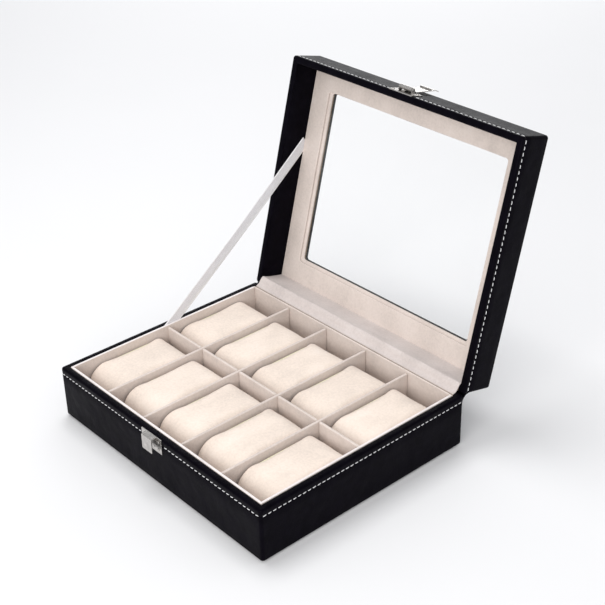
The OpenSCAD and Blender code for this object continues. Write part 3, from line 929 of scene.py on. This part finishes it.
def stitches(name, z, body, node, turn=None):
    """Every stitch is a short plump thread that dives into the leather at both ends."""
    plate_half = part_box("catch_plate")[1].x
    rng = random.Random(7)
    around = 8
    along_steps = 8
    thread_faces = tube_faces(along_steps + 1, around, closed_way=False)
    points, faces = [], []
    for place, along, out in stitch_path(z, plate_half):
        up = out.cross(along)
        tilt = math.radians(rng.uniform(3, 9))
        way = along * math.cos(tilt) + up * math.sin(tilt)
        side = out.cross(way)
        length = STITCH_L * rng.uniform(0.93, 1.05)
        shift = up * rng.uniform(-0.05, 0.05) * MM
        first = len(points)
        for i in range(along_steps + 1):
            t = 2 * i / along_steps - 1
            plump = THREAD_R * math.sqrt(max(0.0, 1 - abs(t) ** 5) * 0.92 + 0.08)
            rise = (0.02 - 0.42 * t ** 4) * MM - GROOVE * 0.35
            middle = place + shift + way * (t * length / 2) + out * rise
            for k in range(around):
                a = 2 * math.pi * k / around
                points.append(middle + (out * math.cos(a) * 0.9 + side * math.sin(a)) * plump)
        faces += [tuple(first + q for q in f) for f in thread_faces]
        faces += end_caps(first, first + along_steps * around, around)
    if turn is not None:
        points = [turn @ p for p in points]
    obj = add_piece(name, points, faces, "white_thread", sharp=None)
    return finish_piece(obj, body, node)


# -------- pillows

FRONT_R = 18 * MM
BACK_R = 9 * MM
LOW_FRONT_R = 11 * MM
LOW_BACK_R = 6 * MM
SIMULATED_SHAPES = 3
SWELL_CAP = 1.5 * MM
CLOTH_FRAMES = 20
COVER_SPACING = 2.6 * MM
COVER_STATIONS = 13
PANEL_SHARES = (0.12, 0.35, 0.58, 0.8)
EDGE_INSET = 5
EDGE_STEPS = ((5, 0), (3.2, 0), (1.9, 0.05), (1.0, 0.3), (0.45, 0.75), (0.12, 1.35))
EDGE_END = 2.1 * MM
SEAM_RINGS = (6, 7)
# how much painted shadow each ring near the pillow's ends gets
SHADED_RINGS = ((6, 0.4), (7, 1.0), (8, 0.8))
FLOOR_BAND = 1.0 * MM
SLOT_CLEAR = 0.12 * MM


def side_outline(depth, height, inset, spacing):
    """Side view of a pillow, drawn in by inset: anticlockwise (y, z) points, front at y = 0."""
    corners = (
        (LOW_FRONT_R, LOW_FRONT_R, LOW_FRONT_R, 180), (depth - LOW_BACK_R, LOW_BACK_R, LOW_BACK_R, 270),
        (depth - BACK_R, height - BACK_R, BACK_R, 0), (FRONT_R, height - FRONT_R, FRONT_R, 90),
    )
    arcs = []
    for y, z, r, start in corners:
        steps = max(4, round(r * math.pi / 2 / spacing))
        arcs.append(arc(y, z, r - inset, start, start + 90, steps))
    points = []
    for i, part in enumerate(arcs):
        points += part
        a = Vector(part[-1])
        b = Vector(arcs[(i + 1) % 4][0])
        count = max(1, round((b - a).length / spacing))
        points += [tuple(a.lerp(b, k / count)) for k in range(1, count)]
    return [Vector(p) for p in points]


def cushion_mesh(width, depth, height):
    """Rings from one end panel over the cover to the other.

    Returns the points, the faces, the number of points to a ring and each end's two seam rings.
    An edge step is (inset from the full outline, distance in from the end), both in millimetres.
    """
    half = width / 2
    full = side_outline(depth, height, 0, COVER_SPACING)
    inner = side_outline(depth, height, EDGE_INSET * MM, COVER_SPACING)
    if len(inner) != len(full):
        raise ValueError("the end panel's rings need as many points as the cover")
    middle = sum(inner, Vector((0, 0))) / len(inner)
    stations = []
    for f in PANEL_SHARES:
        stations.append((-half, [middle.lerp(p, f) for p in inner]))
    for inset, back in EDGE_STEPS:
        shape = [a.lerp(b, inset / EDGE_INSET) for a, b in zip(full, inner)]
        stations.append((-half + back * MM, shape))
    stations.append((-half + EDGE_END, full))
    inside = half - EDGE_END
    runs = COVER_STATIONS
    middle_stations = [(-inside + 2 * inside * i / runs, full) for i in range(1, runs)]
    right = [(-x, shape) for x, shape in stations[::-1]]
    every = stations + middle_stations + right
    points = [Vector((x, p.x, p.y)) for x, shape in every for p in shape]
    count = len(full)
    faces = tube_faces(len(every), count, closed_way=False)
    faces += end_caps(0, len(points) - count, count)
    seams = SEAM_RINGS, tuple(len(every) - 1 - ring for ring in SEAM_RINGS[::-1])
    return points, faces, count, seams


def inflate(points, faces, pressure, seed):
    """Swells the closed cover with Blender's cloth and caps how far a point may move."""
    mesh = bpy.data.meshes.new("cover_at_rest")
    mesh.from_pydata([tuple(p) for p in points], [], faces)
    obj = put_in_scene("cover_at_rest", mesh)
    scene = bpy.context.scene
    rng = random.Random(seed)
    floor = obj.vertex_groups.new(name="floor")
    low = min(p.z for p in points)
    floor.add([i for i, p in enumerate(points) if p.z < low + FLOOR_BAND], 1.0, "REPLACE")
    cloth = obj.modifiers.new("cloth", "CLOTH")
    settings = cloth.settings
    settings.quality = 6
    settings.mass = 0.15
    settings.tension_stiffness = 12 + rng.uniform(-3, 3)
    settings.compression_stiffness = 12
    settings.shear_stiffness = 4
    settings.bending_stiffness = 0.3
    settings.use_pressure = True
    settings.uniform_pressure_force = pressure
    settings.vertex_group_mass = "floor"
    settings.effector_weights.gravity = 0
    cloth.collision_settings.use_collision = False
    for f in range(1, CLOTH_FRAMES + 1):
        scene.frame_set(f)
    evaluated = obj.evaluated_get(bpy.context.evaluated_depsgraph_get())
    moved = [v.co.copy() for v in evaluated.data.vertices]
    scene.frame_set(1)
    bpy.data.objects.remove(obj)
    bpy.data.meshes.remove(mesh)
    return [limited(a, b) for a, b in zip(points, moved)]


def limited(start, end):
    """The move from start to end, eased so that it never passes the cap."""
    move = end - start
    if move.length < 1e-9:
        return start.copy()
    eased = SWELL_CAP * math.tanh(move.length / SWELL_CAP)
    return start + move.normalized() * eased


def pillow(number, shape, faces, count, seams, spot):
    """One pillow in its compartment, with its own dents, lean and seam puckers."""
    rng = random.Random(100 + number)
    seed = Vector((rng.uniform(0, 9), rng.uniform(0, 9), rng.uniform(0, 9)))
    mirror = -1 if rng.random() < 0.5 else 1
    low_z = min(p.z for p in shape)
    points = []
    for i, p in enumerate(shape):
        q = Vector((p.x * mirror, p.y, p.z))
        rise = min(1.0, max(0.0, (q.z - low_z) / (8 * MM)))
        dent = 0.55 * MM * noise.noise(q / 0.021 + seed) + 0.18 * MM * noise.noise(q / 0.007 + seed)
        out = Vector((0, (q.y - spot["depth"] / 2) / spot["depth"], 0.6)).normalized()
        q += out * dent * rise
        q.x += 0.14 * MM * noise.noise(q / 0.012 - seed) * rise
        points.append(q)
    for first, second in seams:
        for k in range(count):
            pucker = 0.20 + 0.09 * math.sin(k * 1.9) + 0.05 * noise.noise(Vector((k * 0.8, number, 0)))
            for station, share in ((first, 1.0), (second, 0.55)):
                i = station * count + k
                inward = Vector((0, spot["depth"] / 2 - points[i].y, spot["height"] / 2 - points[i].z))
                points[i] += inward.normalized() * pucker * share * MM
    turn = Matrix.Rotation(math.radians(rng.uniform(-0.35, 0.35)), 4, "Z")
    shift = Vector((rng.uniform(-0.14, 0.14), rng.uniform(-0.2, 0.5), 0)) * MM
    reach = spot["slot"] / 2 - SLOT_CLEAR
    pivot = Vector((0, spot["depth"] / 2, 0))
    for q in points:
        moved = turn @ (q - pivot) + pivot + shift
        moved.x = max(-reach, min(reach, moved.x))
        q.xyz = moved + spot["origin"]
        q.z = max(q.z, spot["origin"].z)
    faces = [f[::-1] for f in faces] if mirror < 0 else faces
    obj = add_piece(f"pillow_{number}_cushion", points, faces, "cream_velvet", sharp=None)
    shade_seams(obj, count)
    smooth = obj.modifiers.new("smooth", "SUBSURF")
    smooth.levels = smooth.render_levels = 1
    return finish_piece(obj, f"pillow_{number}", f"pillow_cover_{number}")


def shade_seams(obj, count):
    """Marks the rings along the two end seams for a painted shadow: the velvet is darkened there to stand in for
    the shade in the gap between pillow and divider.
    """
    seam_shadow_values = obj.data.attributes.new(PAINTED_SEAM_SHADOW, "FLOAT", "POINT")
    last = len(obj.data.vertices) // count - 1
    for step, amount in SHADED_RINGS:
        for station in (step, last - step):
            for k in range(count):
                seam_shadow_values.data[station * count + k].value = amount


def pillows():
    """The ten pillows, from a few simulated shapes taken in turn."""
    low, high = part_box("pillow_cover_1")
    width = high.x - low.x
    depth = high.y - low.y
    height = high.z - low.z
    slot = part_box("cross_divider_2")[0].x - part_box("cross_divider_1")[1].x
    points, faces, count, seams = cushion_mesh(width - 0.3 * MM, depth - 0.6 * MM, height - 0.6 * MM)
    shapes = []
    for i in range(SIMULATED_SHAPES):
        shapes.append(inflate(points, faces, 3.4 + 0.5 * i, i))
    for number in range(1, 11):
        low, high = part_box(f"pillow_cover_{number}")
        spot = {
            "origin": Vector(((low.x + high.x) / 2, low.y + 0.3 * MM, low.z)),
            "depth": depth, "height": height, "slot": slot,
        }
        pillow(number, shapes[number % SIMULATED_SHAPES], faces, count, seams, spot)


# -------- ribbon stay

RIBBON_W = 10 * MM
BASE_TUCK = 11 * MM
LID_TUCK = 2.5 * MM


def ribbon():
    """The sheer ribbon that stops the lid, taut from the base's left wall to the lid's lining."""
    low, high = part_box("ribbon_stay")
    x = (low.x + high.x) / 2
    ends = ribbon_ends()
    way = (ends[1] - ends[0]).normalized()
    start = ends[0] - way * BASE_TUCK
    length = (ends[1] - ends[0]).length + BASE_TUCK + LID_TUCK
    across = Vector((0, -way.z, way.y))
    along_steps = 150
    across_steps = 10
    points, faces, uvs = [], [], []
    for i in range(along_steps + 1):
        t = i / along_steps
        middle = start + way * (t * length)
        free = math.sin(math.pi * t)
        for k in range(across_steps + 1):
            u = k / across_steps
            off = (u - 0.5) * RIBBON_W
            inward = (0.35 * free + 0.10 * free * math.sin(u * 9 + t * 14)) * MM
            droop = Vector((0, 0, -0.9 * MM * free))
            points.append(middle + across * off + Vector((x + inward, 0, 0)) + droop)
            uvs.append((u, t))
    row = across_steps + 1
    for i in range(along_steps):
        for k in range(across_steps):
            a = i * row + k
            faces.append((a, a + 1, a + row + 1, a + row))
    obj = add_piece("ribbon", points, faces, "white_ribbon", sharp=None)
    layer = obj.data.uv_layers.new(name="weave")
    for loop in obj.data.loops:
        layer.data[loop.index].uv = uvs[loop.vertex_index]
    thick = obj.modifiers.new("thickness", "SOLIDIFY")
    thick.thickness = 0.16 * MM
    thick.offset = 0
    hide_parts("ribbon_stay")
    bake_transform(obj)


def ribbon_ends():
    """Where the ribbon's middle line leaves the base and meets the lid lining, from its CAD strip."""
    points = [v.co for v in nodes["ribbon_stay"].data.vertices]
    lowest = min(p.z for p in points)
    foot = [p for p in points if p.z < lowest + 1 * MM]
    closed = [TO_CLOSED @ p for p in points]
    deepest = max(p.z for p in closed)
    top = [p for p, c in zip(points, closed) if c.z > deepest - 1 * MM]
    ends = []
    for group in (foot, top):
        y = (min(p.y for p in group) + max(p.y for p in group)) / 2
        z = (min(p.z for p in group) + max(p.z for p in group)) / 2
        ends.append(Vector((0, y, z)))
    return ends


# -------- felt, metal and boards

def felt_pad():
    """The felt under the box, with soft edges."""
    low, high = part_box("bottom_felt")
    edge = 0.4 * MM
    r = 2.5 * MM
    rings = []
    for inset, z in [(2.0 * MM, low.z), (edge, low.z), (0.0, low.z + edge), (0.0, high.z - 0.1 * MM),
                     (0.2 * MM, high.z), (2.0 * MM, high.z)]:
        rings.append(outline(high.x - inset, high.y - inset, r, z))
    points = [p for ring in rings for p in ring]
    count = len(rings[0])
    faces = tube_faces(len(rings), count, closed_way=False)
    faces += end_caps(0, len(points) - count, count)
    obj = add_piece("felt_pad", points, faces, "black_felt")
    return finish_piece(obj, "base", "bottom_felt")


def dress_cad_nodes():
    """CAD nodes whose shape is right keep it, with better materials and softened metal edges."""
    slots = {s["node"]: s["material_slot"] for s in frame["record"]["subparts"]}
    for name, obj in nodes.items():
        material = MATERIALS[slots[name]]
        obj.data.materials.clear()
        obj.data.materials.append(material)
        if slots[name] == "nickel":
            bevel = obj.modifiers.new("soft_edges", "BEVEL")
            bevel.width = 0.16 * MM
            bevel.segments = 3
            bevel.limit_method = "ANGLE"
            bevel.angle_limit = math.radians(40)
            bevel.harden_normals = True
            obj.data.shade_smooth()
            obj.data.set_sharp_from_angle(angle=math.radians(40))


# -------- stage and light

FLOOR_RADIUS = 4.0


def floor():
    """A wide pale disc that the box stands on."""
    work = bmesh.new()
    bmesh.ops.create_circle(work, cap_ends=True, cap_tris=False, segments=96, radius=FLOOR_RADIUS)
    mesh = bpy.data.meshes.new("floor")
    work.to_mesh(mesh)
    work.free()
    mat = new_material("pale_floor", (0.86, 0.86, 0.87), 0.7, Specular_IOR_Level=0.15)
    n = Nodes(mat)
    n.finish(roughness=n.spread(n.noise(6), 0.3, 0.7, 0.62, 0.8))
    mesh.materials.append(mat)
    obj = put_in_scene("floor", mesh)


def area_light(name, place, aim, size, power, color=(1, 1, 1)):
    """A rectangular light at a place, turned to face the aim."""
    data = bpy.data.lights.new(name, "AREA")
    data.shape = "RECTANGLE"
    data.size, data.size_y = size
    data.energy = power
    data.color = color
    obj = put_in_scene(name, data)
    obj.location = place
    obj.rotation_mode = "QUATERNION"
    obj.rotation_quaternion = (Vector(aim) - Vector(place)).to_track_quat("-Z", "Y")
    return obj


def lights():
    """A pale room with an overhead softbox, a broad fill in front and a low strip behind."""
    world = bpy.data.worlds.new("studio")
    world.use_nodes = True
    background = world.node_tree.nodes["Background"]
    background.inputs["Color"].default_value = (0.97, 0.98, 1.0, 1)
    background.inputs["Strength"].default_value = 0.62
    bpy.context.scene.world = world
    bpy.context.scene.view_settings.view_transform = "Standard"
    aim = (0, 0.03, 0.06)
    overhead = area_light("overhead", (-0.30, 0.05, 1.30), aim, (0.6, 0.6), 6.5)
    overhead.visible_glossy = False
    area_light("front_fill", (0.75, -1.25, 0.75), aim, (1.3, 0.9), 15, (1.0, 0.985, 0.965))
    area_light("back_strip", (-1.15, 1.30, 0.56), (0, 0.1, 0.24), (1.6, 0.28), 5.5)


# -------- build

dress_cad_nodes()
base_wrap()
lid_wrap()
hinge_leather()
hinge_velvet()
base_linings()
divider_cards()
lid_frames()
stitches("base_stitches", RIM_Z - STITCH_DROP, "base", "base_stitching")
stitches("lid_stitches", LID_Z + STITCH_UP, "lid", "lid_stitching", TO_OPEN)
pillows()
ribbon()
felt_pad()
floor()
lights()
